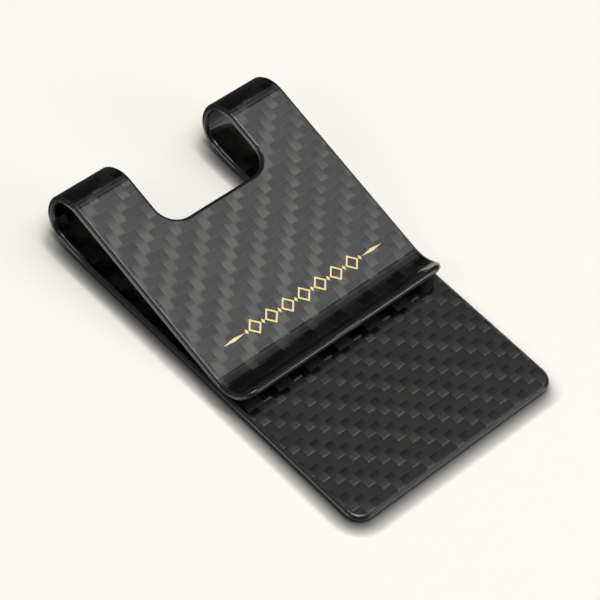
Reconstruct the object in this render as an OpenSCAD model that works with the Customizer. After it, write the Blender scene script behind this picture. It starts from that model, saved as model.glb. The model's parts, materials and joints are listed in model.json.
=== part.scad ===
// Spring money clip: one continuous carbon fibre strip laid up from five plies.
// A flat back plate carries two arms that turn over in open loops and run back
// down as a front leaf, which presses its heel on the plate and ends in a lip.
// X runs across the clip, Y along it towards the loops, Z up from the flat back.
// Origin: centre of the overall length and width, on the underside of the plate.

/* [Back plate] */
// Width of the clip, side to side
clip_w = 45; // [40:0.5:60]
// Overall length, from the plate's free end to the crown of the loops
clip_len = 72.4; // [66:0.2:96]
// Radius of the two corners at the plate's free end
plate_corner_r = 3; // [1:0.25:6]

/* [Laminate] */
// Thickness of one cured ply
ply_t = 0.25; // [0.15:0.01:0.32]

/* [Arms and notch] */
// Width of each of the two arms
arm_w = 11.5; // [8:0.25:14]
// Depth of the notch between the arms, from the crown of the loops
notch_depth = 16.25; // [12:0.25:22]
// Radius of the notch's inner corners
notch_corner_r = 4; // [1:0.25:5]

/* [Loops] */
// Outer radius of the loops
loop_r = 5.2; // [4:0.1:7]
// Height of the loops' underside above the plate's underside
loop_lift = 0.65; // [0.3:0.05:1.2]
// Flat run at the end of each loop, where it joins the leaf
loop_run = 1; // [0.5:0.25:2]

/* [Front leaf] */
// Distance from the plate's free end to the tip of the lip
lip_setback = 26.5; // [20:0.1:34]
// Radius of the heel, measured on the leaf's outer face
heel_r = 5.5; // [4.5:0.25:8]
// Angle that the tip of the lip makes with the plate
lip_angle = 58; // [30:1:70]
// Radius of the lip's two corners
lip_corner_r = 2.8; // [1:0.1:5]
// Clearance between the heel and the plate when the clip is closed
heel_gap = 0.22; // [0.1:0.02:0.5]

/* [Gold inlay] */
// Thickness of the gold foil
foil_t = 0.08; // [0.05:0.01:0.15]
// Distance of the inlay's centre line from the heel's bend, along the leaf
inlay_offset = 3.5; // [2.5:0.1:12]
// Number of open lozenges in the row
lozenge_count = 7; // [3:2:7]
// Width of an open lozenge, across the clip
lozenge_w = 2.8; // [1.5:0.1:2.9]
// Height of an open lozenge, along the leaf
lozenge_h = 3; // [2:0.1:4]
// Width of the line that draws a lozenge
lozenge_line = 0.3; // [0.2:0.05:0.5]
// Distance between the centres of neighbouring lozenges
lozenge_pitch = 3.6; // [3.6:0.1:4]
// Width of the small filled diamonds between the lozenges
bead_w = 0.6; // [0.3:0.05:0.6]
// Height of the small filled diamonds
bead_h = 1; // [0.5:0.1:2]
// Length of the pointed bar at each end of the row
bar_l = 4.6; // [3:0.1:5]
// Height of the pointed bars
bar_h = 0.6; // [0.3:0.05:1]

/* [Hidden] */
// Plies from the outer face of the bent strip to its inner face
PLIES = ["outer_twill", "outer_lengthwise", "middle_crosswise", "inner_lengthwise", "inner_twill"];
ZONES = ["back_plate", "left_loop", "right_loop", "front_leaf"];
GOLD = ["gold_lozenges", "gold_diamonds", "gold_bars"];

TWILL_COLOR = "#3a3b3c";
TOW_COLOR = "#1b1c1d";
GOLD_COLOR = "#e6cf90";
ARC_FN = 96;
// Largest step along a bend, in degrees
BEND_STEP = 3;
// Overlap of a cutting shape past the face that it cuts
cut = 1;

half_w = clip_w / 2;
wall_t = len(PLIES) * ply_t;
end_y = -clip_len / 2;
notch_w = clip_w - 2 * arm_w;
notch_y = clip_len / 2 - notch_depth;
// The plate's flat arms end, and the loops begin, where the notch's corners end
rise_y = notch_y + notch_corner_r;

// Centre of the loops' round end
loop_y = clip_len / 2 - loop_r;
loop_z = loop_r + loop_lift;
// The long arc that lifts an arm off the flat into the round end, tangent to both
rise_run = loop_y - rise_y;
rise_r = (rise_run * rise_run / loop_lift + loop_r + loop_z) / 2;
rise_angle = atan2(rise_run, rise_r - loop_z);

// Centre of the heel, above the leaf
heel_y = end_y + lip_setback + heel_r * sin(lip_angle);
heel_z = wall_t + heel_gap + wall_t + heel_r;
// The leaf's outer face is the line tangent to the loops below it and the heel above it
span = norm([loop_y - heel_y, loop_z - heel_z]);
leaf_angle = atan2(loop_z - heel_z, loop_y - heel_y) + asin((loop_r + heel_r) / span);
leaf_l = sqrt(span * span - pow(loop_r + heel_r, 2));
leaf_y = heel_y + heel_r * sin(leaf_angle);
leaf_z = heel_z - heel_r * cos(leaf_angle);
leaf_notch = (notch_y - leaf_y) / cos(leaf_angle);

// Rectangle from a to b whose four corners have radius r
module round_rect(a, b, r) {
    translate([a.x + r, a.y]) square([b.x - a.x - 2 * r, b.y - a.y]);
    translate([a.x, a.y + r]) square([b.x - a.x, b.y - a.y - 2 * r]);
    for (x = [a.x + r, b.x - r], y = [a.y + r, b.y - r])
        translate([x, y]) circle(r, $fn = ARC_FN);
}

// What rounding to radius r takes off the strip's two corners, where its end lies along X
module corner_offcuts(r) {
    for (side = [0, 1])
        mirror([side, 0]) translate([half_w - r, r]) difference() {
            translate([0, -r - cut]) square(r + cut);
            circle(r, $fn = ARC_FN);
        }
}

// The notch, from its floor at y0, past the end at y1
module notch_outline(y0, y1) {
    round_rect([-notch_w / 2, y0], [notch_w / 2, y1 + 2 * notch_corner_r + cut], notch_corner_r);
}

// Points on an arc of radius r about (y, z), seen from the side
function bend(y, z, r, a0, a1) =
    let (n = ceil(abs(a1 - a0) / BEND_STEP))
    [for (i = [0 : n]) let (a = a0 + (a1 - a0) * i / n) [y + r * cos(a), z + r * sin(a)]];

// Point of the leaf's side view, l up the leaf from the heel's bend, at depth d below its outer face
function leaf_point(l, d) = [
    leaf_y + l * cos(leaf_angle) + d * sin(leaf_angle),
    leaf_z + l * sin(leaf_angle) - d * cos(leaf_angle)
];

// Side views of the strip at depth d: round a loop from the plate, and down the leaf to the lip
function loop_line(d) = concat(
    bend(rise_y, rise_r, rise_r - d, -90, rise_angle - 90),
    tail(bend(loop_y, loop_z, loop_r - d, rise_angle - 90, leaf_angle + 90)),
    [leaf_point(leaf_l - loop_run, d)]
);
function leaf_line(d) = concat(
    [leaf_point(leaf_l - loop_run, d)],
    bend(heel_y, heel_z, heel_r + d, leaf_angle - 90, -90 - lip_angle)
);
function tail(points) = [for (i = [1 : len(points) - 1]) points[i]];
function reverse(points) = [for (i = [len(points) - 1 : -1 : 0]) points[i]];

// Sheet of width w from x0, between two side views of the strip
module sheet(x0, w, outer, inner) {
    translate([x0, 0, 0]) rotate([90, 0, 90]) linear_extrude(w)
        polygon(concat(outer, reverse(inner)));
}

// Frame of the leaf's flat: origin on its outer face at the heel's bend, Y towards the loops
module on_leaf() {
    translate([0, leaf_y, leaf_z]) rotate([leaf_angle, 0, 0]) children();
}

// Frame of the lip's tip: origin on its outer face at the end, Y back towards the heel
module on_lip() {
    translate([0, end_y + lip_setback, heel_z - heel_r * cos(lip_angle)])
        rotate([-lip_angle, 0, 0]) children();
}

// Cutter through all the plies, past both faces
module through() {
    translate([0, 0, -wall_t - cut]) linear_extrude(wall_t + 2 * cut) children();
}

// The ply's depth below the outer face is from d to d + ply_t
module back_plate(d) {
    translate([0, 0, d]) linear_extrude(ply_t) difference() {
        translate([-half_w, end_y]) square([clip_w, rise_y - end_y]);
        translate([0, end_y]) corner_offcuts(plate_corner_r);
        notch_outline(notch_y, rise_y);
    }
}

module loop(x0, d) {
    sheet(x0, arm_w, loop_line(d), loop_line(d + ply_t));
}

module front_leaf(d) {
    difference() {
        sheet(-half_w, clip_w, leaf_line(d), leaf_line(d + ply_t));
        on_leaf() through() notch_outline(leaf_notch, leaf_l);
        on_lip() through() corner_offcuts(lip_corner_r);
    }
}

module ply(zone, i) {
    d = i * ply_t;
    skin = i == 0 || i == len(PLIES) - 1;
    color(skin ? TWILL_COLOR : TOW_COLOR) {
        if (zone == "back_plate") back_plate(d);
        if (zone == "left_loop") loop(-half_w, d);
        if (zone == "right_loop") loop(half_w - arm_w, d);
        if (zone == "front_leaf") front_leaf(d);
    }
}

module rhombus(w, h) {
    polygon([[-w / 2, 0], [0, -h / 2], [w / 2, 0], [0, h / 2]]);
}

// Foil laid on the leaf's outer face, in line with the heel
module foil() {
    color(GOLD_COLOR) on_leaf() translate([0, inlay_offset, 0]) linear_extrude(foil_t) children();
}

row_end = lozenge_count * lozenge_pitch / 2;
// The line keeps its width on a lozenge's slanted sides
inner_scale = 1 - 2 * lozenge_line * norm([lozenge_w, lozenge_h]) / (lozenge_w * lozenge_h);

module gold_lozenges() {
    foil() for (i = [0 : lozenge_count - 1])
        translate([(i + 0.5) * lozenge_pitch - row_end, 0]) difference() {
            rhombus(lozenge_w, lozenge_h);
            rhombus(lozenge_w * inner_scale, lozenge_h * inner_scale);
        }
}

module gold_diamonds() {
    foil() for (i = [0 : lozenge_count])
        translate([i * lozenge_pitch - row_end, 0]) rhombus(bead_w, bead_h);
}

module gold_bars() {
    foil() for (side = [-1, 1])
        translate([side * (row_end + (lozenge_pitch - lozenge_w) / 2 + bar_l / 2), 0])
            rhombus(bar_l, bar_h);
}

for (zone = ZONES, i = [0 : len(PLIES) - 1])
    ply(zone, i);
gold_lozenges();
gold_diamonds();
gold_bars();
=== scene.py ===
"""Looks of a carbon fibre money clip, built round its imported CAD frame.

The clip is made here as it is made in the works: a flat blank with its window, corners
and softened edges is modelled once, cut into the plies and zones of the frame, and each
cut piece is formed on the same mould line that the frame follows. The weave is drawn on
a map that unrolls the strip, so it runs unbroken round the bends.
"""

from __future__ import annotations

import json
import logging
import math
from dataclasses import dataclass, field
from enum import Enum
from typing import Any

import bpy
import numpy as np
from mathutils import Matrix, Vector


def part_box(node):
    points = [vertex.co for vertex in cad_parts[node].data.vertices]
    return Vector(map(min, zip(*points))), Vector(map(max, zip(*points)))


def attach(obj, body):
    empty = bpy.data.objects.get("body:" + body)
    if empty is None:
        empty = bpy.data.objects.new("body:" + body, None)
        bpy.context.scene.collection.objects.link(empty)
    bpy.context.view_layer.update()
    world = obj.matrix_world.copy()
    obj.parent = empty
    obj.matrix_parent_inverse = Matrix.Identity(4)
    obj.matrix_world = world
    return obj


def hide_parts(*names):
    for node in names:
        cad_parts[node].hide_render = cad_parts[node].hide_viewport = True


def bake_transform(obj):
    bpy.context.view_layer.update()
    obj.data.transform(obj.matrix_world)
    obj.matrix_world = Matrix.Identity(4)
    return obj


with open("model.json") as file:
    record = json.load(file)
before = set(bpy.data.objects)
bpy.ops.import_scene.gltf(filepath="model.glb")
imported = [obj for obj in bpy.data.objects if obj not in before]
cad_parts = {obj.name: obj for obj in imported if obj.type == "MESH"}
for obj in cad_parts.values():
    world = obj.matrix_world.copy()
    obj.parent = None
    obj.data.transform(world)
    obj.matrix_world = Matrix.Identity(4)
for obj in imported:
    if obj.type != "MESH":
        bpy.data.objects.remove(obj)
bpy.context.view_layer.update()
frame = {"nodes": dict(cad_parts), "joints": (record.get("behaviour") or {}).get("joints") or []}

log = logging.getLogger("money_clip")

MM = 0.001
DEG = math.pi / 180
TINY = 1e-6
NOISE_LOW, NOISE_HIGH = 0.3, 0.7
WEAVE_MAP = "weave"
GOLD_NODES = ("gold_lozenges", "gold_diamonds", "gold_bars")


class Ply(Enum):
    """The five plies, from the strip's outer face inwards, as the frame names them."""

    OUTER_TWILL = "outer_twill"
    OUTER_LENGTHWISE = "outer_lengthwise"
    MIDDLE_CROSSWISE = "middle_crosswise"
    INNER_LENGTHWISE = "inner_lengthwise"
    INNER_TWILL = "inner_twill"

    @property
    def number(self) -> int:
        """Place of the ply in the stack, counted from the outer face."""
        return list(Ply).index(self)

    @property
    def woven(self) -> bool:
        """Whether the ply is a twill skin."""
        return "twill" in self.value


class Zone(Enum):
    """The four zones that the strip is cut into where its spring begins and ends."""

    BACK_PLATE = "back_plate"
    LEFT_LOOP = "left_loop"
    RIGHT_LOOP = "right_loop"
    FRONT_LEAF = "front_leaf"


def node_name(zone: Zone, ply: Ply) -> str:
    """Name of the frame's node for one ply of one zone."""
    return f"{zone.value}_{ply.value}"


# --- finishes ---------------------------------------------------------------------------


def linear(hex_colour: str) -> tuple[float, float, float, float]:
    """Turns an sRGB colour into the linear one that shaders take.

    Args:
        hex_colour: Six hex digits, as in "3a3b3c".

    Returns:
        Linear red, green and blue, and an alpha of 1.
    """
    parts = [int(hex_colour[i : i + 2], 16) / 255 for i in (0, 2, 4)]
    low, gamma = 0.04045, 2.4
    return (*[p / 12.92 if p <= low else ((p + 0.055) / 1.055) ** gamma for p in parts], 1.0)


def blank_material(name: str) -> bpy.types.Material:
    """Makes a material that has no nodes yet.

    Args:
        name: Name of the material.

    Returns:
        The empty material.
    """
    material = bpy.data.materials.new(name)
    material.use_nodes = True
    material.node_tree.nodes.clear()
    return material


def add(tree: bpy.types.NodeTree, kind: str, links: dict | None = None, **settings: Any) -> bpy.types.Node:
    """Adds a node, with its settings and what goes into its sockets.

    Args:
        tree: Node tree that gets the node.
        kind: Blender's name of the node type.
        links: For each socket name or number, a value, an output socket, or a node whose
            first output goes in.
        **settings: Properties of the node.

    Returns:
        The new node.
    """
    made = tree.nodes.new(kind)
    for name, value in settings.items():
        setattr(made, name, value)
    for socket, value in (links or {}).items():
        if isinstance(value, bpy.types.Node):
            value = value.outputs[0]
        if isinstance(value, bpy.types.NodeSocket):
            tree.links.new(value, made.inputs[socket])
        else:
            made.inputs[socket].default_value = value
    return made


@dataclass(frozen=True)
class TwillLaminate:
    """Carbon twill laid up, cured and lacquered: dark floats under a deep clear gloss.

    The fibres shine across their own direction, so the lengthwise and crosswise floats
    take the light in turn, and the smooth lacquer over them mirrors the room. The
    crosswise floats are also painted darker than the lengthwise ones, a painted shade
    for the light they catch less.
    """

    tow: float = 1.64 * MM
    across_at: float = 1.0
    along_at: float = 0.9
    crown: float = 0.12 * MM
    crosswise_crown: float = 0.5
    bulge: float = 0.12
    fibre: str = "464644"
    # Painted highlight: a lighter colour along the long sides of the crosswise floats, for the glint at the
    # tows' edges.
    float_edge_highlight: str = "5e5e5b"
    float_edge_highlight_share: float = 0.6
    # Painted shade: crosswise floats get a darker tone than lengthwise ones, for the light they catch less.
    lengthwise_lit_tone: float = 0.5
    crosswise_painted_shade: float = 0.25
    lot_shade: float = 0.2
    strand_shade: float = 0.4
    strands: tuple[float, float, float] = (12.0, 0.75, 50.0)
    fibre_roughness: float = 0.33
    fibre_direction: float = 0.95
    lacquer_roughness: float = 0.02
    lacquer_ior: float = 1.5

    def build(self, name: str) -> bpy.types.Material:
        """Makes the material.

        Args:
            name: Name of the material.

        Returns:
            The finished material.
        """
        material = blank_material(name)
        tree = material.node_tree
        lattice = self.lay_lattice(tree)
        height = self.raise_floats(tree, lattice)
        colour = self.colour_floats(tree, lattice)
        bump = add(tree, "ShaderNodeBump", {"Height": height, "Distance": self.crown, "Strength": 1.0})
        quarter_turn = add(tree, "ShaderNodeMath", {0: lattice["crosswise"], 1: 0.25}, operation="MULTIPLY")
        tangent = add(tree, "ShaderNodeTangent", direction_type="UV_MAP", uv_map=WEAVE_MAP)
        # Fibres that shine only across themselves, seen through a hard clear lacquer: the
        # floats change from grey to black as the clip turns, and the gloss stays sharp.
        shader = add(
            tree,
            "ShaderNodeBsdfPrincipled",
            {
                "Base Color": colour.outputs["Result"],
                "Metallic": 1.0,
                "Roughness": self.fibre_roughness,
                "Anisotropic": self.fibre_direction,
                "Anisotropic Rotation": quarter_turn,
                "Tangent": tangent,
                "Normal": bump,
                "Coat Weight": 1.0,
                "Coat Roughness": self.lacquer_roughness,
                "Coat IOR": self.lacquer_ior,
            },
        )
        add(tree, "ShaderNodeOutputMaterial", {"Surface": shader})
        return material

    def lay_lattice(self, tree: bpy.types.NodeTree) -> dict[str, bpy.types.Node]:
        """Finds which float of the 2x2 twill each point lies on, and where on it.

        Args:
            tree: Node tree of the material.

        Returns:
            Nodes by name: column and row are the tows' numbers, crosswise is 1 on a crosswise
            float, first is 1 on a float's second crossing, along runs from 0 to 2 over a
            float's length, and across from 0 to 1 over its width.
        """
        unrolled = add(tree, "ShaderNodeUVMap", uv_map=WEAVE_MAP)
        per_tow = 1 / self.tow
        in_tows = add(
            tree,
            "ShaderNodeMapping",
            {
                "Vector": unrolled,
                "Location": (self.across_at, self.along_at, 0),
                "Scale": (per_tow, per_tow, 1),
            },
        )
        place = add(tree, "ShaderNodeSeparateXYZ", {0: in_tows})
        x, y = place.outputs["X"], place.outputs["Y"]
        column = add(tree, "ShaderNodeMath", {0: x}, operation="FLOOR")
        row = add(tree, "ShaderNodeMath", {0: y}, operation="FLOOR")
        in_column = add(tree, "ShaderNodeMath", {0: x}, operation="FRACT")
        in_row = add(tree, "ShaderNodeMath", {0: y}, operation="FRACT")
        diagonal = add(tree, "ShaderNodeMath", {0: column, 1: row}, operation="ADD")
        step = add(tree, "ShaderNodeMath", {0: diagonal, 1: 4.0}, operation="FLOORED_MODULO")
        crosswise = add(tree, "ShaderNodeMath", {0: step, 1: 1.5}, operation="GREATER_THAN")
        first = add(tree, "ShaderNodeMath", {0: diagonal, 1: 2.0}, operation="FLOORED_MODULO")
        run = add(tree, "ShaderNodeMix", {"Factor": crosswise, "A": in_row, "B": in_column})
        across = add(tree, "ShaderNodeMix", {"Factor": crosswise, "A": in_column, "B": in_row})
        along = add(tree, "ShaderNodeMath", {0: first, 1: run}, operation="ADD")
        off_middle = add(tree, "ShaderNodeMath", {0: across, 1: 2.0, 2: -1.0}, operation="MULTIPLY_ADD")
        side = add(tree, "ShaderNodeMath", {0: off_middle}, operation="ABSOLUTE")
        return {
            "column": column,
            "row": row,
            "crosswise": crosswise,
            "first": first,
            "along": along,
            "across": across,
            "side": side,
        }

    def raise_floats(self, tree: bpy.types.NodeTree, lattice: dict[str, bpy.types.Node]) -> bpy.types.Node:
        """Arches each float from the crossing it comes up at to the one it dives under.

        Args:
            tree: Node tree of the material.
            lattice: Nodes from lay_lattice.

        Returns:
            Node whose output is the height, as a share of the crown.
        """
        arch_power, bulge_power = 3.0, 6.0
        off_middle = add(tree, "ShaderNodeMath", {0: lattice["along"], 1: 1.0}, operation="SUBTRACT")
        end = add(tree, "ShaderNodeMath", {0: off_middle}, operation="ABSOLUTE")
        dive = add(tree, "ShaderNodeMath", {0: end, 1: arch_power}, operation="POWER")
        arch = add(tree, "ShaderNodeMath", {0: 1.0, 1: dive}, operation="SUBTRACT")
        crown = add(
            tree,
            "ShaderNodeMath",
            {0: lattice["crosswise"], 1: self.crosswise_crown - 1, 2: 1.0},
            operation="MULTIPLY_ADD",
        )
        rim = add(tree, "ShaderNodeMath", {0: lattice["side"], 1: bulge_power}, operation="POWER")
        bulge = add(
            tree, "ShaderNodeMath", {0: rim, 1: -self.bulge, 2: self.bulge}, operation="MULTIPLY_ADD"
        )
        return add(tree, "ShaderNodeMath", {0: crown, 1: arch, 2: bulge}, operation="MULTIPLY_ADD")

    def colour_floats(self, tree: bpy.types.NodeTree, lattice: dict[str, bpy.types.Node]) -> bpy.types.Node:
        """Shades the floats one by one, with streaks of strands, a painted shade on the crosswise floats
        and a painted highlight along their long sides.

        Args:
            tree: Node tree of the material.
            lattice: Nodes from lay_lattice.

        Returns:
            Mix node whose Result is the colour.
        """
        crosswise, first = lattice["crosswise"], lattice["first"]
        back = add(tree, "ShaderNodeMath", {0: first, 1: crosswise}, operation="MULTIPLY")
        start_column = add(tree, "ShaderNodeMath", {0: lattice["column"], 1: back}, operation="SUBTRACT")
        row_back = add(tree, "ShaderNodeMath", {0: lattice["row"], 1: first}, operation="SUBTRACT")
        start_row = add(tree, "ShaderNodeMath", {0: row_back, 1: back}, operation="ADD")
        number = add(tree, "ShaderNodeCombineXYZ", {0: start_column, 1: start_row, 2: crosswise})
        lot = add(tree, "ShaderNodeTexWhiteNoise", {"Vector": number}, noise_dimensions="3D")
        on_float = add(
            tree,
            "ShaderNodeCombineXYZ",
            {0: lattice["across"], 1: lattice["along"], 2: lot.outputs["Value"]},
        )
        strand = add(tree, "ShaderNodeVectorMath", {0: on_float, 1: self.strands}, operation="MULTIPLY")
        streaks = add(tree, "ShaderNodeTexNoise", {"Vector": strand, "Scale": 1.0, "Detail": 2.0})
        # Painted shade: the crosswise floats' tone is darker than the lengthwise floats', standing in for
        # the light they catch less.
        shade = add(
            tree,
            "ShaderNodeMath",
            {0: crosswise, 1: self.crosswise_painted_shade - self.lengthwise_lit_tone, 2: self.lengthwise_lit_tone},
            operation="MULTIPLY_ADD",
        )
        shade = add(
            tree,
            "ShaderNodeMath",
            {0: lot.outputs["Value"], 1: self.lot_shade, 2: shade},
            operation="MULTIPLY_ADD",
        )
        shade = add(
            tree,
            "ShaderNodeMath",
            {0: streaks.outputs["Fac"], 1: self.strand_shade, 2: shade},
            operation="MULTIPLY_ADD",
        )
        fibres = add(
            tree,
            "ShaderNodeMix",
            {"Factor": 1.0, "A": linear(self.fibre), "B": shade},
            data_type="RGBA",
            blend_type="MULTIPLY",
        )
        # Painted highlight: the long sides of the crosswise floats are mixed towards a lighter colour,
        # standing in for the glint at the tows' edges.
        highlight_power = 14.0
        flank = add(tree, "ShaderNodeMath", {0: lattice["side"], 1: highlight_power}, operation="POWER")
        share = add(tree, "ShaderNodeMath", {0: crosswise, 1: self.float_edge_highlight_share}, operation="MULTIPLY")
        gap = add(tree, "ShaderNodeMath", {0: flank, 1: share}, operation="MULTIPLY")
        return add(
            tree,
            "ShaderNodeMix",
            {"Factor": gap, "A": fibres.outputs["Result"], "B": linear(self.float_edge_highlight)},
            data_type="RGBA",
        )


@dataclass(frozen=True)
class SealedEdge:
    """Cut laminate edge, sanded round and lacquered: near black, with a soft, uneven gloss."""

    resin: str = "121213"
    fibre: str = "1d1d1f"
    grain: float = 0.25 * MM
    roughness: tuple[float, float] = (0.34, 0.46)
    lacquer_roughness: float = 0.08
    lacquer_ior: float = 1.5

    def build(self, name: str) -> bpy.types.Material:
        """Makes the material.

        Args:
            name: Name of the material.

        Returns:
            The finished material.
        """
        material = blank_material(name)
        tree = material.node_tree
        where = add(tree, "ShaderNodeTexCoord")
        cut = add(
            tree,
            "ShaderNodeTexNoise",
            {"Vector": where.outputs["Object"], "Scale": 1 / self.grain, "Detail": 3.0},
        )
        colour = add(
            tree,
            "ShaderNodeMix",
            {"Factor": cut.outputs["Fac"], "A": linear(self.resin), "B": linear(self.fibre)},
            data_type="RGBA",
        )
        sanded = add(
            tree,
            "ShaderNodeMapRange",
            {
                "Value": cut.outputs["Fac"],
                "From Min": NOISE_LOW,
                "From Max": NOISE_HIGH,
                "To Min": self.roughness[0],
                "To Max": self.roughness[1],
            },
        )
        # Resin and cut fibre ends under lacquer: no weave shows, only a dull black sheen.
        shader = add(
            tree,
            "ShaderNodeBsdfPrincipled",
            {
                "Base Color": colour.outputs["Result"],
                "Roughness": sanded,
                "Coat Weight": 1.0,
                "Coat Roughness": self.lacquer_roughness,
                "Coat IOR": self.lacquer_ior,
            },
        )
        add(tree, "ShaderNodeOutputMaterial", {"Surface": shader})
        return material


@dataclass(frozen=True)
class GoldFoil:
    """Pale gold foil pressed on and lacquered over: light yellow, with a soft metal glow."""

    thin: str = "e9d592"
    full: str = "f6e8b0"
    mottle: float = 0.5 * MM
    roughness: tuple[float, float] = (0.38, 0.52)
    metal: float = 0.6
    lacquer: float = 0.5
    lacquer_roughness: float = 0.05

    def build(self, name: str) -> bpy.types.Material:
        """Makes the material.

        Args:
            name: Name of the material.

        Returns:
            The finished material.
        """
        material = blank_material(name)
        tree = material.node_tree
        where = add(tree, "ShaderNodeTexCoord")
        pressing = add(
            tree,
            "ShaderNodeTexNoise",
            {"Vector": where.outputs["Object"], "Scale": 1 / self.mottle, "Detail": 3.0},
        )
        colour = add(
            tree,
            "ShaderNodeMix",
            {"Factor": pressing.outputs["Fac"], "A": linear(self.thin), "B": linear(self.full)},
            data_type="RGBA",
        )
        grain = add(
            tree,
            "ShaderNodeMapRange",
            {
                "Value": pressing.outputs["Fac"],
                "From Min": NOISE_LOW,
                "From Max": NOISE_HIGH,
                "To Min": self.roughness[0],
                "To Max": self.roughness[1],
            },
        )
        # Thin pressed foil: half metal, half pale pigment, so it stays light at any angle.
        shader = add(
            tree,
            "ShaderNodeBsdfPrincipled",
            {
                "Base Color": colour.outputs["Result"],
                "Metallic": self.metal,
                "Roughness": grain,
                "Coat Weight": self.lacquer,
                "Coat Roughness": self.lacquer_roughness,
            },
        )
        add(tree, "ShaderNodeOutputMaterial", {"Surface": shader})
        return material


# --- the mould --------------------------------------------------------------------------


@dataclass(frozen=True)
class Bend:
    """One stretch of the strip's middle line, straight or round."""

    length: float
    turn: float = 0.0

    def travel(self, heading: float, along: np.ndarray | float) -> tuple:
        """Finds where the line has got to, some way along this stretch.

        Args:
            heading: Heading where the stretch starts, in radians from +Y towards +Z.
            along: Distance or distances from its start.

        Returns:
            Y and Z from its start, and the heading there.
        """
        curve = self.turn / self.length
        angle = heading + curve * along
        if not self.turn:
            return along * math.cos(heading), along * math.sin(heading), angle
        dy = (np.sin(angle) - math.sin(heading)) / curve
        dz = (math.cos(heading) - np.cos(angle)) / curve
        return dy, dz, angle


@dataclass
class Mould:
    """The line that the strip is formed along, in the side view, with Y along and Z up.

    Depths are measured inwards from the strip's outer face, which is the plate's underside
    and the leaf's upper face.
    """

    end_y: float
    rise_y: float
    loop_y: float
    loop_z: float
    loop_r: float
    wall: float
    tip_y: float
    heel_r: float = 5.5 * MM
    lip_angle: float = 58 * DEG
    heel_gap: float = 0.22 * MM
    loop_run: float = 1 * MM
    bends: list[Bend] = field(init=False)

    @classmethod
    def from_frame(cls) -> Mould:
        """Takes the mould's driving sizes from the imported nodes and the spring's joint.

        Returns:
            The mould, laid out.
        """
        plate = [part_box(node_name(Zone.BACK_PLATE, p)) for p in (Ply.OUTER_TWILL, Ply.INNER_TWILL)]
        _, loop_y, loop_z = frame["joints"][0]["pos_m"]
        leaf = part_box(node_name(Zone.FRONT_LEAF, Ply.OUTER_TWILL))
        ply_t = plate[0][1].z
        mould = cls(
            end_y=plate[0][0].y,
            rise_y=plate[0][1].y,
            loop_y=loop_y,
            loop_z=loop_z,
            loop_r=-plate[0][0].y - loop_y,
            wall=plate[1][1].z,
            tip_y=0.0,
        )
        mould.tip_y = leaf[0].y + ply_t * math.sin(mould.lip_angle)
        mould.lay_out()
        return mould

    def lay_out(self) -> None:
        """Works out the stretches of the middle line, from the plate's end to the lip's tip."""
        lift = self.loop_z - self.loop_r
        rise_run = self.loop_y - self.rise_y
        rise_r = (rise_run**2 / lift + self.loop_r + self.loop_z) / 2
        rise = math.atan2(rise_run, rise_r - self.loop_z)
        heel_y = self.tip_y + self.heel_r * math.sin(self.lip_angle)
        heel_z = 2 * self.wall + self.heel_gap + self.heel_r
        span = math.hypot(self.loop_y - heel_y, self.loop_z - heel_z)
        radii = self.loop_r + self.heel_r
        slope = math.atan2(self.loop_z - heel_z, self.loop_y - heel_y) + math.asin(radii / span)
        leaf = math.sqrt(span**2 - radii**2)
        half = self.wall / 2
        loop_turn = math.pi + slope - rise
        heel_turn = slope + self.lip_angle
        self.slope = slope
        self.bends = [
            Bend(self.rise_y - self.end_y),
            Bend((rise_r - half) * rise, rise),
            Bend((self.loop_r - half) * loop_turn, loop_turn),
            Bend(leaf),
            Bend((self.heel_r + half) * heel_turn, -heel_turn),
        ]

    @property
    def length(self) -> float:
        """Length of the strip along its middle line."""
        return sum(bend.length for bend in self.bends)

    def start_of(self, number: int) -> float:
        """Run of the middle line up to the start of one stretch."""
        return sum(bend.length for bend in self.bends[:number])

    def follow(self, run: np.ndarray, depth: np.ndarray) -> tuple[np.ndarray, np.ndarray, np.ndarray]:
        """Finds where points of the flat blank go on the mould.

        Args:
            run: Distance of each point along the middle line from the plate's end.
            depth: Depth of each point below the outer face.

        Returns:
            Y, Z and the strip's heading there, in radians from +Y towards +Z.
        """
        y, z, heading = (np.zeros_like(run) for _ in range(3))
        at_y, at_z, turned, start = self.end_y, self.wall / 2, 0.0, 0.0
        for bend in self.bends:
            on_it = run >= start - TINY * MM
            dy, dz, angle = bend.travel(turned, run - start)
            y, z = np.where(on_it, at_y + dy, y), np.where(on_it, at_z + dz, z)
            heading = np.where(on_it, angle, heading)
            dy, dz, turned = bend.travel(turned, bend.length)
            at_y, at_z, start = at_y + dy, at_z + dz, start + bend.length
        inward = depth - self.wall / 2
        return y - np.sin(heading) * inward, z + np.cos(heading) * inward, heading


# --- the blank --------------------------------------------------------------------------


def only_none() -> None:
    """Leaves edit mode and deselects everything."""
    if bpy.context.object and bpy.context.object.mode == "EDIT":
        bpy.ops.object.mode_set(mode="OBJECT")
    bpy.ops.object.select_all(action="DESELECT")


def only(thing: bpy.types.Object) -> None:
    """Deselects everything, then selects one object and makes it active.

    Args:
        thing: The object.
    """
    bpy.ops.object.select_all(action="DESELECT")
    thing.select_set(True)
    bpy.context.view_layer.objects.active = thing


def points_of(mesh: bpy.types.Mesh) -> np.ndarray:
    """Reads a mesh's points.

    Args:
        mesh: The mesh.

    Returns:
        One row for each point.
    """
    flat = np.empty(len(mesh.vertices) * 3)
    mesh.vertices.foreach_get("co", flat)
    return flat.reshape(-1, 3)


def corner_points(mesh: bpy.types.Mesh) -> np.ndarray:
    """Reads which point each corner of each face stands on.

    Args:
        mesh: The mesh.

    Returns:
        The point's number for each corner.
    """
    owner = np.empty(len(mesh.loops), int)
    mesh.loops.foreach_get("vertex_index", owner)
    return owner


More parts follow.
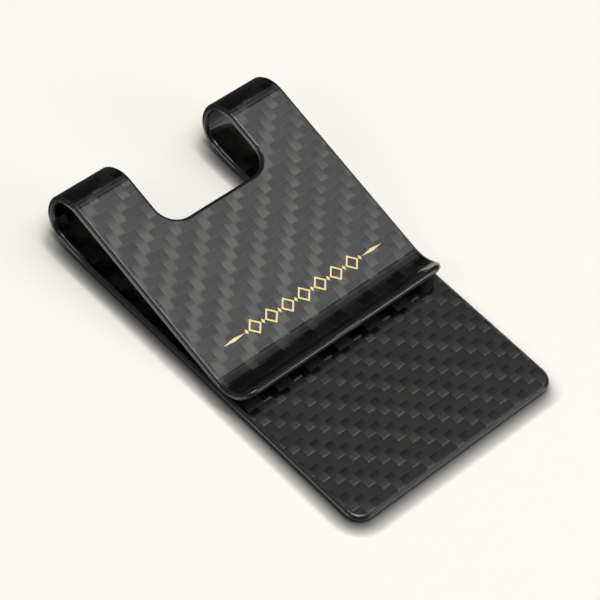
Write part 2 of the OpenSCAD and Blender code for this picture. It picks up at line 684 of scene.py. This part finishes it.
def pick_edges(thing: bpy.types.Object, wanted: np.ndarray) -> None:
    """Opens an object for editing with just some of its edges selected.

    Args:
        thing: The object, in object mode.
        wanted: True for each edge to select.
    """
    only(thing)
    bpy.context.tool_settings.mesh_select_mode = (False, True, False)
    mesh = thing.data
    mesh.vertices.foreach_set("select", np.zeros(len(mesh.vertices), bool))
    mesh.polygons.foreach_set("select", np.zeros(len(mesh.polygons), bool))
    mesh.edges.foreach_set("select", wanted)
    bpy.ops.object.mode_set(mode="EDIT")


def pick_faces(thing: bpy.types.Object, wanted: np.ndarray) -> None:
    """Opens an object for editing with just some of its faces selected.

    Args:
        thing: The object, in object mode.
        wanted: True for each face to select.
    """
    only(thing)
    bpy.context.tool_settings.mesh_select_mode = (False, False, True)
    mesh = thing.data
    mesh.vertices.foreach_set("select", np.zeros(len(mesh.vertices), bool))
    mesh.edges.foreach_set("select", np.zeros(len(mesh.edges), bool))
    mesh.polygons.foreach_set("select", wanted)
    bpy.ops.object.mode_set(mode="EDIT")


def edge_ends(mesh: bpy.types.Mesh) -> tuple[np.ndarray, np.ndarray]:
    """Reads the two end points of each edge.

    Args:
        mesh: The mesh.

    Returns:
        Two arrays with one row for each edge.
    """
    ends = np.empty(len(mesh.edges) * 2, int)
    mesh.edges.foreach_get("vertices", ends)
    points = points_of(mesh)
    return points[ends[0::2]], points[ends[1::2]]


def slab(name: str, low: tuple, high: tuple) -> bpy.types.Object:
    """Adds a block between two corners, with its place in its mesh.

    Args:
        name: Name of the block.
        low: Its lowest corner.
        high: Its highest corner.

    Returns:
        The block.
    """
    only_none()
    centre = [(a + b) / 2 for a, b in zip(low, high)]
    bpy.ops.mesh.primitive_cube_add(size=1, location=centre)
    made = bpy.context.active_object
    made.name = name
    made.scale = [b - a for a, b in zip(low, high)]
    bpy.ops.object.transform_apply(location=True, rotation=True, scale=True)
    return made


def split(thing: bpy.types.Object, point: tuple, normal: tuple, keep_behind: bool = False) -> None:
    """Cuts an object along a plane.

    Args:
        thing: The object.
        point: Point of the plane.
        normal: Direction square to the plane.
        keep_behind: Whether to take away what is in front of the plane, and close the cut.
    """
    only(thing)
    bpy.ops.object.mode_set(mode="EDIT")
    bpy.ops.mesh.select_all(action="SELECT")
    bpy.ops.mesh.bisect(plane_co=point, plane_no=normal, clear_outer=keep_behind)
    if keep_behind:
        bpy.ops.mesh.select_all(action="SELECT")
        bpy.ops.mesh.fill_holes(sides=0)
    bpy.ops.object.mode_set(mode="OBJECT")


def rounded_box(
    points: np.ndarray, half_x: float, y_span: tuple[float, float], radius: np.ndarray | float
) -> np.ndarray:
    """Measures how far points lie outside a rounded rectangle, in plan.

    Args:
        points: One row for each point.
        half_x: Half the rectangle's width.
        y_span: Its lowest and highest Y.
        radius: Radius of its corners, one for all or one for each point.

    Returns:
        The distance of each point, below zero inside.
    """
    low, high = y_span
    past_x = np.abs(points[:, 0]) - half_x + radius
    past_y = np.abs(points[:, 1] - (low + high) / 2) - (high - low) / 2 + radius
    corner = np.hypot(np.maximum(past_x, 0), np.maximum(past_y, 0))
    return corner + np.minimum(np.maximum(past_x, past_y), 0) - radius


@dataclass
class Blank:
    """The strip laid out flat, lying in the plate's own place and running on past it."""

    mould: Mould
    half_w: float
    arm_w: float
    plate_corner_r: float = 3 * MM
    lip_corner_r: float = 2.8 * MM
    window_corner_r: float = 4 * MM
    edge_run: float = 0.6 * MM
    edge_tilt: tuple[float, float] = (18 * DEG, 50 * DEG)
    corner_steps: int = 14
    edge_steps: int = 8

    def __post_init__(self) -> None:
        """Places the window between the arms, by the notch floors of the plate and leaf."""
        mould = self.mould
        self.start_y = mould.end_y
        self.end_y = mould.end_y + mould.length
        notch_y = mould.rise_y - self.window_corner_r
        leaf_start = mould.start_of(3)
        tangent_y = mould.loop_y - mould.loop_r * math.sin(mould.slope)
        self.window_y = (
            notch_y,
            mould.end_y + leaf_start + (tangent_y - notch_y) / math.cos(mould.slope),
        )
        self.window_x = self.half_w - self.arm_w
        self.seams = (
            mould.end_y + mould.start_of(1),
            mould.end_y + leaf_start + mould.loop_run,
        )

    def build(self) -> bpy.types.Object:
        """Models the blank.

        Returns:
            The flat strip as one closed mesh.
        """
        wall = self.mould.wall
        strip = slab("blank", (-self.half_w, self.start_y, 0), (self.half_w, self.end_y, wall))
        split(strip, (0, 0, 0), (1, 0, 0))
        self.round_corners(strip, self.start_y, self.plate_corner_r)
        self.round_corners(strip, self.end_y, self.lip_corner_r)
        self.cut_window(strip)
        self.outline_rims(strip)
        self.shape_edges(strip)
        return strip

    def round_corners(self, strip: bpy.types.Object, at_y: float, radius: float) -> None:
        """Rounds the upright corners at one end.

        Args:
            strip: The block.
            at_y: Y of the end.
            radius: Radius of the corners.
        """
        a, b = edge_ends(strip.data)
        upright = np.abs(a[:, 2] - b[:, 2]) > self.mould.wall / 2
        wanted = upright & (np.abs(a[:, 1] - at_y) < TINY)
        pick_edges(strip, wanted)
        bpy.ops.mesh.bevel(offset=radius, segments=self.corner_steps, affect="EDGES")
        bpy.ops.object.mode_set(mode="OBJECT")

    def cut_window(self, strip: bpy.types.Object) -> None:
        """Cuts the window that leaves the two arms, with its round corners.

        Args:
            strip: The block.
        """
        past = 1 * MM
        cutter = slab(
            "window_cutter",
            (-self.window_x, self.window_y[0], -past),
            (self.window_x, self.window_y[1], self.mould.wall + past),
        )
        a, b = edge_ends(cutter.data)
        pick_edges(cutter, np.abs(a[:, 2] - b[:, 2]) > past)
        bpy.ops.mesh.bevel(offset=self.window_corner_r, segments=self.corner_steps, affect="EDGES")
        bpy.ops.object.mode_set(mode="OBJECT")
        only(strip)
        cut = strip.modifiers.new("window", "BOOLEAN")
        cut.operation, cut.object, cut.solver = "DIFFERENCE", cutter, "EXACT"
        bpy.ops.object.modifier_apply(modifier=cut.name)
        bpy.data.objects.remove(cutter)

    def outline_rims(self, strip: bpy.types.Object) -> None:
        """Lays rows of points just inside the rims of both faces, closest at both sides of a rim.

        Args:
            strip: The blank, with square rims.
        """
        pick_faces(strip, np.array([abs(face.normal.z) > 0.99 for face in strip.data.polygons]))
        turns = np.linspace(0, math.pi, self.edge_steps + 1)
        for step in np.diff(self.edge_run * (1 - np.cos(turns)) / 2):
            bpy.ops.mesh.inset(thickness=step, use_boundary=True)
        bpy.ops.object.mode_set(mode="OBJECT")

    def score(self, piece: bpy.types.Object) -> None:
        """Divides a flat piece across wherever it will bend.

        Args:
            piece: The flat piece.
        """
        points = points_of(piece.data)
        low, high = points[:, 1].min(), points[:, 1].max()
        only(piece)
        bpy.ops.object.mode_set(mode="EDIT")
        for y in self.rows():
            if low < y < high:
                bpy.ops.mesh.select_all(action="SELECT")
                bpy.ops.mesh.bisect(plane_co=(0, y, 0), plane_no=(0, 1, 0))
        bpy.ops.object.mode_set(mode="OBJECT")

    def rows(self) -> list[float]:
        """Places the dividing rows: fine round the bends, coarse along the flats.

        Returns:
            Y of each row.
        """
        fine, coarse = 2.5 * DEG, 4 * MM
        found = []
        for number, bend in enumerate(self.mould.bends):
            count = math.ceil(max(abs(bend.turn) / fine, bend.length / coarse))
            start = self.start_y + self.mould.start_of(number)
            found += [start + bend.length * i / count for i in range(0 if number else 1, count)]
        return found

    def from_rim(self, points: np.ndarray) -> np.ndarray:
        """Measures how far points lie inside the outline from the nearest rim, in plan.

        Args:
            points: One row for each point of the flat strip.

        Returns:
            The distance of each point.
        """
        radius = np.where(points[:, 1] < 0, self.plate_corner_r, self.lip_corner_r)
        outline = rounded_box(points, self.half_w, (self.start_y, self.end_y), radius)
        window = rounded_box(points, self.window_x, self.window_y, self.window_corner_r)
        return np.minimum(-outline, window)

    def shape_edges(self, strip: bpy.types.Object) -> None:
        """Rounds the rims off as the sander leaves them, with a break where it first bites.

        Args:
            strip: The blank, with rows of points along its rims.
        """
        mesh, wall = strip.data, self.mould.wall
        points = points_of(mesh)
        first, last = self.edge_tilt
        radius = self.edge_run / (math.sin(last) - math.sin(first))
        out = np.clip(1 - self.from_rim(points) / self.edge_run, 0, 1) * self.edge_run
        drop = radius * (math.cos(first) - np.sqrt(1 - (math.sin(first) + out / radius) ** 2))
        upper = points[:, 2] > wall / 2
        points[:, 2] = np.where(upper, wall - drop, drop)
        mesh.vertices.foreach_set("co", points.ravel())
        mesh.update()


# --- the clip ---------------------------------------------------------------------------


@dataclass
class Clip:
    """The formed strip: every ply of every zone as a piece of its own."""

    mould: Mould
    blank: Blank
    ply_t: float
    skins: dict[Ply, bpy.types.Material]
    edge: bpy.types.Material

    def build(self) -> list[bpy.types.Object]:
        """Cuts, forms and dresses all the pieces.

        Returns:
            The pieces, zone by zone.
        """
        strip = self.blank.build()
        self.keep_smooth_normals(strip)
        pieces = [self.piece(strip, zone, ply) for zone in Zone for ply in Ply]
        bpy.data.objects.remove(strip)
        return pieces

    def keep_smooth_normals(self, strip: bpy.types.Object) -> None:
        """Stores the whole blank's smooth normals on its points, for the cut pieces.

        Args:
            strip: The whole blank.
        """
        only(strip)
        bpy.ops.object.shade_smooth()
        weigh = strip.modifiers.new("weigh", "WEIGHTED_NORMAL")
        weigh.weight, weigh.keep_sharp = 100, False
        bpy.ops.object.modifier_apply(modifier=weigh.name)
        mesh = strip.data
        corners = np.empty(len(mesh.loops) * 3, np.float32)
        mesh.corner_normals.foreach_get("vector", corners)
        normals = np.zeros((len(mesh.vertices), 3), np.float32)
        np.add.at(normals, corner_points(mesh), corners.reshape(-1, 3))
        stored = mesh.attributes.new("smooth_normal", "FLOAT_VECTOR", "POINT")
        stored.data.foreach_set("vector", normals.ravel())

    def piece(self, strip: bpy.types.Object, zone: Zone, ply: Ply) -> bpy.types.Object:
        """Makes one ply of one zone.

        Args:
            strip: The whole blank.
            zone: Zone of the strip.
            ply: Ply of the laminate.

        Returns:
            The formed piece, riding as its CAD node does.
        """
        only_none()
        made = strip.copy()
        made.data = strip.data.copy()
        bpy.context.scene.collection.objects.link(made)
        node = node_name(zone, ply)
        made.name = made.data.name = f"{node}_formed"
        self.cut_out(made, zone, ply)
        self.dress(made, ply)
        self.form(made)
        self.attach(made, zone)
        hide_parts(node)
        faces = len(made.data.polygons)
        log.info("%s: %d faces, %.2f mm off its CAD box", made.name, faces, self.off(made, node))
        return made

    def cut_out(self, made: bpy.types.Object, zone: Zone, ply: Ply) -> None:
        """Cuts a copy of the blank down to one ply of one zone, closed all round.

        Args:
            made: The copy.
            zone: Zone of the strip.
            ply: Ply of the laminate.
        """
        first, last = self.blank.seams
        keep_above = {Zone.BACK_PLATE: None, Zone.FRONT_LEAF: last}.get(zone, first)
        keep_below = {Zone.BACK_PLATE: first, Zone.FRONT_LEAF: None}.get(zone, last)
        number = ply.number
        cuts = []
        if keep_above is not None:
            cuts.append(((0, keep_above, 0), (0, -1, 0)))
        if keep_below is not None:
            cuts.append(((0, keep_below, 0), (0, 1, 0)))
        if zone is Zone.LEFT_LOOP:
            cuts.append(((0, 0, 0), (1, 0, 0)))
        if zone is Zone.RIGHT_LOOP:
            cuts.append(((0, 0, 0), (-1, 0, 0)))
        if number > 0:
            cuts.append(((0, 0, number * self.ply_t), (0, 0, -1)))
        if number < len(Ply) - 1:
            cuts.append(((0, 0, (number + 1) * self.ply_t), (0, 0, 1)))
        for point, outward in cuts:
            split(made, point, outward, keep_behind=True)
        self.blank.score(made)

    def form(self, made: bpy.types.Object) -> None:
        """Bends a flat piece to the mould, with its normals, and unrolls its weave map.

        Args:
            made: The flat piece.
        """
        mesh = made.data
        flat = points_of(mesh)
        run = flat[:, 1] - self.mould.end_y
        y, z, heading = self.mould.follow(run, flat[:, 2])
        unrolled = run - heading * (flat[:, 2] - self.mould.wall / 2)
        owner = corner_points(mesh)
        normals = self.flat_normals(mesh, owner)
        cos, sin = np.cos(heading[owner]), np.sin(heading[owner])
        ahead, up = normals[:, 1], normals[:, 2]
        turned = np.stack([normals[:, 0], ahead * cos - up * sin, ahead * sin + up * cos], 1)

        layer = mesh.uv_layers.new(name=WEAVE_MAP)
        weave = np.stack([flat[owner, 0], unrolled[owner]], 1).astype(np.float32)
        layer.uv.foreach_set("vector", weave.ravel())
        mesh.vertices.foreach_set("co", np.stack([flat[:, 0], y, z], 1).ravel())
        mesh.update()
        mesh.attributes.remove(mesh.attributes["smooth_normal"])
        mesh.normals_split_custom_set([tuple(normal) for normal in turned])

    @staticmethod
    def flat_normals(mesh: bpy.types.Mesh, owner: np.ndarray) -> np.ndarray:
        """Finds the normal of each face corner: the blank's outside, the face's own on a cut.

        Args:
            mesh: Mesh of a flat piece.
            owner: The point's number for each corner.

        Returns:
            One row for each corner.
        """
        same_way = 0.8
        counts = np.empty(len(mesh.polygons), int)
        mesh.polygons.foreach_get("loop_total", counts)
        own = np.empty(len(mesh.polygons) * 3)
        mesh.polygons.foreach_get("normal", own)
        own = np.repeat(own.reshape(-1, 3), counts, axis=0)
        smooth = np.empty(len(mesh.vertices) * 3)
        mesh.attributes["smooth_normal"].data.foreach_get("vector", smooth)
        smooth = smooth.reshape(-1, 3)[owner]
        smooth /= np.linalg.norm(smooth, axis=1, keepdims=True)
        on_cut = (own * smooth).sum(1) < same_way
        return np.where(on_cut[:, None], own, smooth)

    def dress(self, made: bpy.types.Object, ply: Ply) -> None:
        """Puts the twill on a skin inside its rims, and the sealed edge on everything else.

        Args:
            made: The piece, still flat.
            ply: Ply of the laminate.
        """
        mesh = made.data
        mesh.materials.clear()
        if not ply.woven:
            mesh.materials.append(self.edge)
            return
        mesh.materials.append(self.skins[ply])
        mesh.materials.append(self.edge)
        rim_share = 0.95
        centres = np.empty(len(mesh.polygons) * 3)
        mesh.polygons.foreach_get("center", centres)
        on_rim = self.blank.from_rim(centres.reshape(-1, 3)) < self.blank.edge_run * rim_share
        mesh.polygons.foreach_set("material_index", on_rim.astype(np.int32))

    def attach(self, made: bpy.types.Object, zone: Zone) -> None:
        """Rides a plate or leaf piece on its body, and leaves a loop piece where it was formed, on no body.

        Args:
            made: The formed piece.
            zone: Zone of the strip.
        """
        if zone is Zone.BACK_PLATE:
            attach(made, "back")
        elif zone is Zone.FRONT_LEAF:
            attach(made, "front")
        else:
            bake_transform(made)

    @staticmethod
    def off(made: bpy.types.Object, node: str) -> float:
        """Measures how far a piece's box is off its CAD node's box at worst.

        Args:
            made: The formed piece.
            node: Name of the CAD node.

        Returns:
            The distance in millimetres.
        """
        low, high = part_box(node)
        points = points_of(made.data)
        ends = np.array([points.min(0), points.max(0)])
        return float(np.abs(ends - np.array([low, high])).max()) / MM


@dataclass
class GoldBand:
    """The band of foil across the leaf, whose pieces keep the frame's own shapes."""

    foil: bpy.types.Material
    nodes: tuple[str, ...] = GOLD_NODES

    def build(self) -> None:
        """Covers each piece of the band with the foil."""
        for name in self.nodes:
            gold = frame["nodes"][name]
            gold.data.materials.clear()
            gold.data.materials.append(self.foil)
            log.info("%s: %d faces of foil", name, len(gold.data.polygons))


# --- the studio -------------------------------------------------------------------------


@dataclass
class Studio:
    """Pale floor, soft lights and the camera."""

    azimuth: float = -55.27 * DEG
    elevation: float = 50.25 * DEG
    roll: float = 14.55 * DEG
    distance: float = 444.1 * MM
    aim: tuple[float, float, float] = (1.203 * MM, 0.925 * MM, 0.0)
    lens: float = 166.9
    floor_colour: str = "f8f5ee"
    # Painted contact shadow on the floor: how far it reaches, which way it looks, how steep and how dark.
    painted_shadow_reach: float = 2.8 * MM
    painted_shadow_from: tuple[float, float, float] = (0.72, 0.69, 0.02)
    painted_shadow_steepness: float = 6.5
    painted_shadow_darkest: float = 0.12
    painted_shadow_clear: float = 0.85
    # Painted glow of the black card, which is no lamp.
    card_painted_glow: float = 0.05
    room_light: float = 0.02

    def build(self) -> None:
        """Sets up everything round the clip."""
        self.lay_floor()
        self.hang_lights()
        self.fill_room()
        self.place_camera()

    def lay_floor(self) -> None:
        """Lays the wide pale floor under the clip."""
        only_none()
        size, under = 8.0, 0.02 * MM
        bpy.ops.mesh.primitive_plane_add(size=size, location=(0, 0, -under))
        floor = bpy.context.active_object
        floor.name = "floor"
        bpy.ops.object.transform_apply(location=True, rotation=True, scale=True)
        floor.data.materials.append(self.paper_with_painted_shadow())

    def paper_with_painted_shadow(self) -> bpy.types.Material:
        """Makes the floor's paper, with a painted shadow: its colour darkens close to where the clip rests
        on it.

        Returns:
            The finished material.
        """
        material = blank_material("paper_with_painted_shadow")
        tree = material.node_tree
        # Painted shadow: the paper's colour is darkened by how much the clip hides round each point.
        # Most of the light along the floor comes from the back right, so the shade is
        # measured that way along the floor, and not upwards.
        along_floor = add(tree, "ShaderNodeCombineXYZ", dict(enumerate(self.painted_shadow_from)))
        contact = add(
            tree,
            "ShaderNodeAmbientOcclusion",
            {"Distance": self.painted_shadow_reach, "Normal": along_floor},
            samples=16,
        )
        steep = add(
            tree,
            "ShaderNodeMath",
            {0: contact.outputs["AO"], 1: self.painted_shadow_steepness},
            operation="POWER",
        )
        painted_shadow_factor = add(
            tree,
            "ShaderNodeMapRange",
            {
                "Value": steep,
                "From Min": 0.0,
                "From Max": self.painted_shadow_clear,
                "To Min": self.painted_shadow_darkest,
                "To Max": 1.0,
            },
        )
        paper = add(
            tree,
            "ShaderNodeMix",
            {"Factor": 1.0, "A": linear(self.floor_colour), "B": painted_shadow_factor},
            data_type="RGBA",
            blend_type="MULTIPLY",
        )
        shader = add(
            tree,
            "ShaderNodeBsdfPrincipled",
            {"Base Color": paper.outputs["Result"], "Roughness": 0.9, "Specular IOR Level": 0.1},
        )
        add(tree, "ShaderNodeOutputMaterial", {"Surface": shader})
        return material

    @staticmethod
    def panel(name: str, size: tuple[float, float], radiance: float) -> bpy.types.Object:
        """Makes a rectangular soft light that faces down from the origin.

        Args:
            name: Name of the light.
            size: Its width and height.
            radiance: Brightness of its face.

        Returns:
            The light.
        """
        data = bpy.data.lights.new(name, "AREA")
        data.shape = "RECTANGLE"
        data.size, data.size_y = size
        data.energy = radiance * math.pi * size[0] * size[1]
        lamp = bpy.data.objects.new(name, data)
        bpy.context.scene.collection.objects.link(lamp)
        return lamp

    def softbox(
        self,
        name: str,
        towards: tuple[float, float, float],
        distance: float,
        size: tuple[float, float],
        radiance: float,
        mirrored: bool = True,
    ) -> None:
        """Hangs one soft light that faces the clip.

        Args:
            name: Name of the light.
            towards: Direction of the light from the clip.
            distance: Distance from the clip.
            size: Width and height of the light.
            radiance: Brightness of its face.
            mirrored: Whether gloss may show it.
        """
        lamp = self.panel(name, size, radiance)
        way = Vector(towards).normalized()
        lamp.location = way * distance
        lamp.rotation_euler = way.to_track_quat("Z", "Y").to_euler()
        lamp.visible_glossy = mirrored

    def ceiling(
        self,
        name: str,
        low: tuple[float, float],
        high: tuple[float, float],
        height: float,
        radiance: float,
    ) -> None:
        """Hangs one level soft light that gloss shows with its sides along X and Y.

        Args:
            name: Name of the light.
            low: Its corner with the lowest X and Y.
            high: Its opposite corner.
            height: Height above the floor.
            radiance: Brightness of its face.
        """
        lamp = self.panel(name, (high[0] - low[0], high[1] - low[1]), radiance)
        lamp.location = ((low[0] + high[0]) / 2, (low[1] + high[1]) / 2, height)

    def black_card(self) -> None:
        """Leans a black card behind the loops that only gloss shows: a painted dark reflection, with a
        faint painted glow.
        """
        foot, top, wide = (38 * MM, 0.1 * MM), (150 * MM, 200 * MM), (-200 * MM, 500 * MM)
        only_none()
        bpy.ops.mesh.primitive_plane_add(size=1)
        card = bpy.context.active_object
        card.name = "black_card"
        corners = [(wide[0], *foot), (wide[1], *foot), (wide[0], *top), (wide[1], *top)]
        card.data.vertices.foreach_set("co", [value for corner in corners for value in corner])
        card.data.update()
        material = blank_material("black_reflection_sheet")
        tree = material.node_tree
        # Painted reflection: a black sheet seen only in gloss, glowing faintly though it is no lamp.
        shader = add(
            tree,
            "ShaderNodeBsdfPrincipled",
            {
                "Base Color": (0.001, 0.001, 0.001, 1),
                "Roughness": 1.0,
                "Specular IOR Level": 0.0,
                "Emission Color": (1, 1, 1, 1),
                "Emission Strength": self.card_painted_glow,
            },
        )
        add(tree, "ShaderNodeOutputMaterial", {"Surface": shader})
        card.data.materials.append(material)
        card.visible_camera = card.visible_diffuse = card.visible_shadow = False
        card.visible_transmission = card.visible_volume_scatter = False

    def hang_lights(self) -> None:
        """Hangs the soft lights.

        The leaf's gloss mirrors the first panel, and the bends mirror the dark gap beside it
        and then the weak glow. The fibres take their light from overhead, and the rims from
        the boxes at the front and left. The floor has two lights that gloss leaves out.
        """
        self.ceiling("leaf_softbox", low=(1.0, -1.5), high=(2.9, 0.19), height=3.0, radiance=1.45)
        self.ceiling("glow", low=(0.8, 0.50), high=(3.4, 2.1), height=3.0, radiance=0.36)
        self.ceiling("glow_near", low=(0.8, 0.50), high=(3.4, 0.95), height=2.99, radiance=0.30)
        self.ceiling("overhead", low=(-0.42, -0.5), high=(0.32, 0.06), height=1.2, radiance=5.0)
        self.ceiling("overhead_back", low=(-0.42, 0.17), high=(0.32, 0.34), height=1.2, radiance=2.6)
        away = 1.5
        self.softbox("lip_strip", (0.5255, -0.56, 0.60), away, size=(0.5, 0.06), radiance=5.0)
        self.softbox("front_low", (0.5255, -0.80, 0.30), away, size=(0.9, 0.75), radiance=1.5)
        self.softbox("left_strip", (-0.83, 0.12, 0.55), away, size=(0.7, 0.4), radiance=2.6)
        self.softbox("left_back", (-0.62, 0.74, 0.29), away, size=(0.5, 0.4), radiance=2.0)
        self.softbox("key", (0.2, 0.12, 0.97), away, size=(0.4, 0.4), radiance=10.5, mirrored=False)
        self.softbox("sky", (0.0, 0.0, 1.0), 1.6, size=(2.4, 2.4), radiance=0.3, mirrored=False)
        self.black_card()

    def fill_room(self) -> None:
        """Gives the room its dim, even light."""
        world = bpy.data.worlds.new("room")
        bpy.context.scene.world = world
        world.use_nodes = True
        tree = world.node_tree
        tree.nodes.clear()
        glow = add(tree, "ShaderNodeBackground", {"Color": linear("ffffff"), "Strength": self.room_light})
        add(tree, "ShaderNodeOutputWorld", {"Surface": glow})
        bpy.context.scene.view_settings.view_transform = "Standard"

    def place_camera(self) -> None:
        """Places the camera by its bearing, height and roll round the clip."""
        a, e, r = self.azimuth, self.elevation, self.roll
        forward = Vector((-math.sin(a) * math.cos(e), math.cos(a) * math.cos(e), -math.sin(e)))
        right = Vector((math.cos(a), math.sin(a), 0))
        up = right.cross(forward)
        rolled_right = right * math.cos(r) + up * math.sin(r)
        rolled_up = up * math.cos(r) - right * math.sin(r)
        data = bpy.data.cameras.new("camera")
        data.lens, data.sensor_width = self.lens, 36.0
        data.clip_start, data.clip_end = 0.01, 20.0
        camera = bpy.data.objects.new("camera", data)
        bpy.context.scene.collection.objects.link(camera)
        turn = Matrix((rolled_right, rolled_up, -forward)).transposed()
        camera.matrix_world = Matrix.Translation(Vector(self.aim) - forward * self.distance) @ turn.to_4x4()
        bpy.context.scene.camera = camera


def main() -> None:
    """Builds the clip and its studio."""
    logging.basicConfig(level=logging.INFO, format="%(name)s: %(message)s")
    mould = Mould.from_frame()
    low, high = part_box(node_name(Zone.LEFT_LOOP, Ply.OUTER_TWILL))
    blank = Blank(mould, half_w=-low.x, arm_w=high.x - low.x)
    outer = TwillLaminate()
    inner = TwillLaminate(tow=1.65 * MM, across_at=3.0, along_at=0.65, float_edge_highlight_share=0.2)
    skins = {
        Ply.OUTER_TWILL: outer.build("outer_twill_lacquered"),
        Ply.INNER_TWILL: inner.build("inner_twill_lacquered"),
    }
    edge = SealedEdge().build("cut_edge_lacquered")
    pieces = Clip(mould, blank, mould.wall / len(Ply), skins, edge).build()
    log.info("%d pieces formed", len(pieces))
    GoldBand(GoldFoil().build("gold_foil_pressed")).build()
    Studio().build()


if __name__ == "__main__":
    main()
